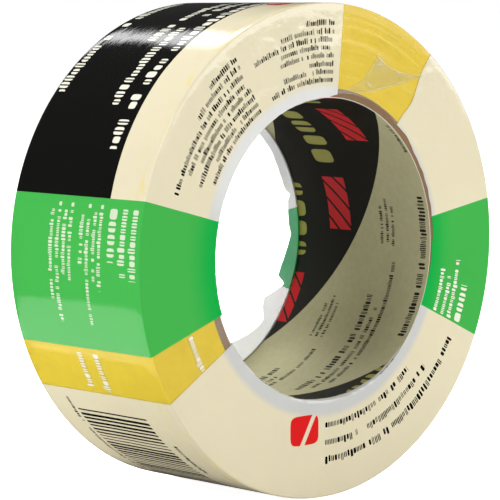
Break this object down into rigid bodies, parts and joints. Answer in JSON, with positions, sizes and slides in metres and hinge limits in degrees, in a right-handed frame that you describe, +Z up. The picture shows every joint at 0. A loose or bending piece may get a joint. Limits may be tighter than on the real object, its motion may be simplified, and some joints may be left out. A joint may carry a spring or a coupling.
{
  "type": "masking tape roll",
  "caption": "Wrapped roll of yellow masking tape on a paperboard core, standing on its tread, in printed shrink film.",
  "frame": {"origin": "middle of the core's bore, halfway across the roll's width", "axes": "+Y along the roll's axis, away from the printed front face, which looks towards -Y; +Z up, the roll standing on its tread"},
  "size_m": [0.1232, 0.0482, 0.1232],
  "materials": {
    "printed_paper": "satin",
    "kraft_board": "matte",
    "yellow_crepe_tape": "satin",
    "printed_film": "gloss"
  },
  "bodies": {
    "root": {"core_liner": "printed_paper", "core_ply_1": "kraft_board", "core_ply_2": "kraft_board", "core_ply_3": "kraft_board", "core_ply_4": "kraft_board", "core_face_ply": "kraft_board", "tape_winding": "yellow_crepe_tape", "wrap_film": "printed_film"}
  },
  "joints": []
}
